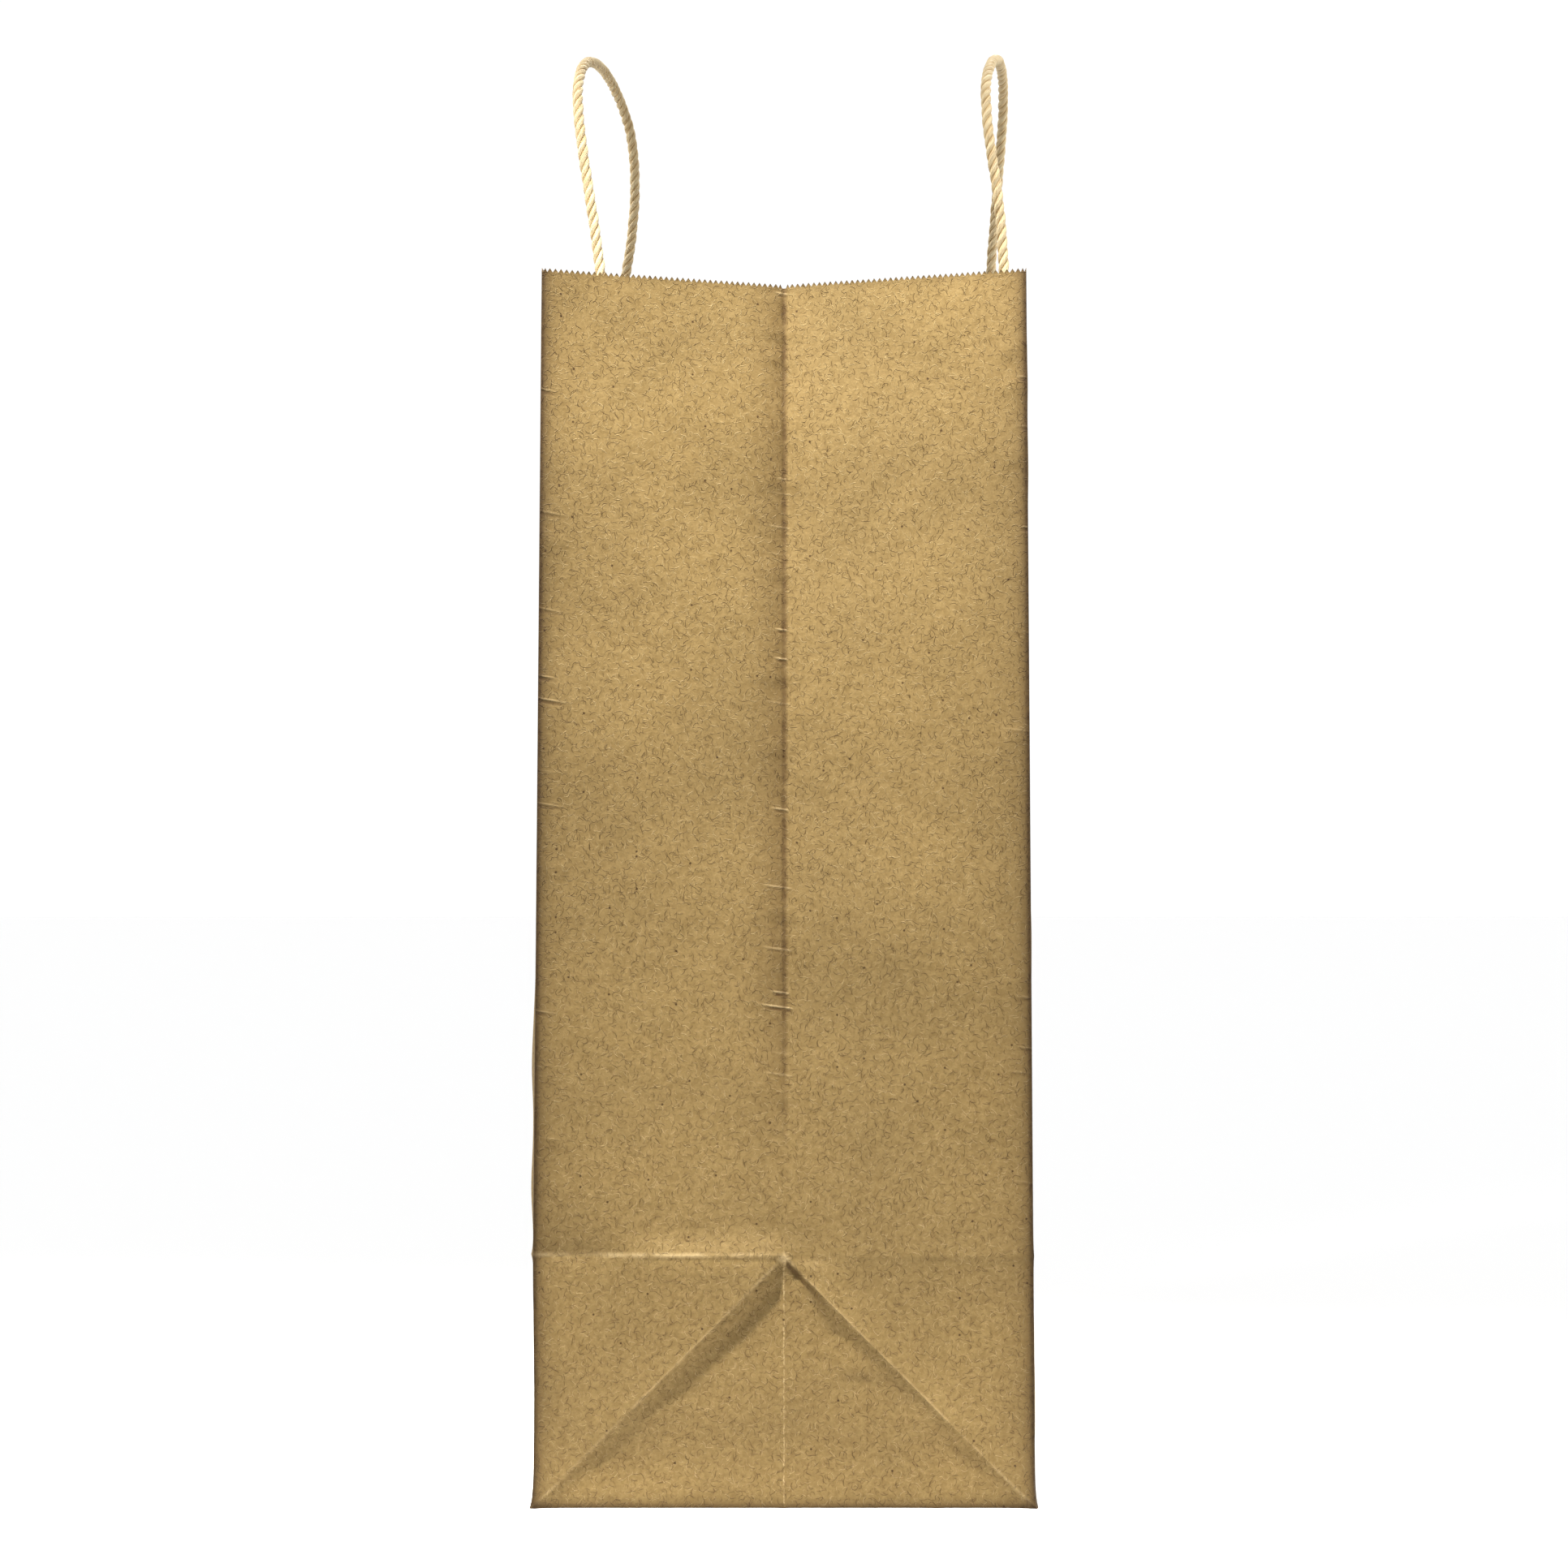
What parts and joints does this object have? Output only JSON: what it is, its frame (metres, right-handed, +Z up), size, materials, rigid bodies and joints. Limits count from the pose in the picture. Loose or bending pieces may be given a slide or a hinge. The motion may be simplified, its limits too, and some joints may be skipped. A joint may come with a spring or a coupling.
{
  "type": "paper gift bag",
  "caption": "Plain kraft paper gift bag with a block bottom, folded side gussets, a toothed mouth and twisted paper cord handles that swing.",
  "frame": {"origin": "middle of the underside, on the surface that the bag stands on", "axes": "+Z up, +X across the broad faces towards the right gusset, -Y towards the front face"},
  "size_m": [0.33, 0.1781, 0.5423],
  "materials": {
    "kraft_paper": "matt brown kraft with visible fibres and a faint machine-finish sheen",
    "patch_paper": "matt brown kraft strip glued inside the mouth",
    "handle_cord": "tightly twisted kraft paper cord, satin on the crowns of its strands"
  },
  "bodies": {
    "bag": {"front_base_band": "kraft_paper", "front_panel": "kraft_paper", "back_panel": "kraft_paper", "seam_lap": "kraft_paper", "right_gusset_base": "kraft_paper", "right_gusset_front_half": "kraft_paper", "right_gusset_rear_half": "kraft_paper", "left_gusset_base": "kraft_paper", "left_gusset_front_half": "kraft_paper", "left_gusset_rear_half": "kraft_paper", "bottom_rear_flap": "kraft_paper", "bottom_front_flap": "kraft_paper", "bottom_right_end_flap": "kraft_paper", "bottom_left_end_flap": "kraft_paper", "front_patch_backing": "patch_paper", "front_patch_cover": "patch_paper", "front_handle_tails": "handle_cord", "back_patch_backing": "patch_paper", "back_patch_cover": "patch_paper", "back_handle_tails": "handle_cord"},
    "front_handle": {"front_handle_loop": "handle_cord"},
    "back_handle": {"back_handle_loop": "handle_cord"}
  },
  "joints": [
    {"name": "front_handle_swing", "type": "hinge", "parent": "bag", "child": "front_handle", "pos_m": [0, -0.06806, 0.43738], "axis": [1, 0, 0], "range_deg": [-140, 90], "stiffness_Nm_per_rad": 0.02},
    {"name": "back_handle_swing", "type": "hinge", "parent": "bag", "child": "back_handle", "pos_m": [0, 0.08287, 0.43749], "axis": [1, 0, 0], "range_deg": [-90, 140], "stiffness_Nm_per_rad": 0.02}
  ]
}
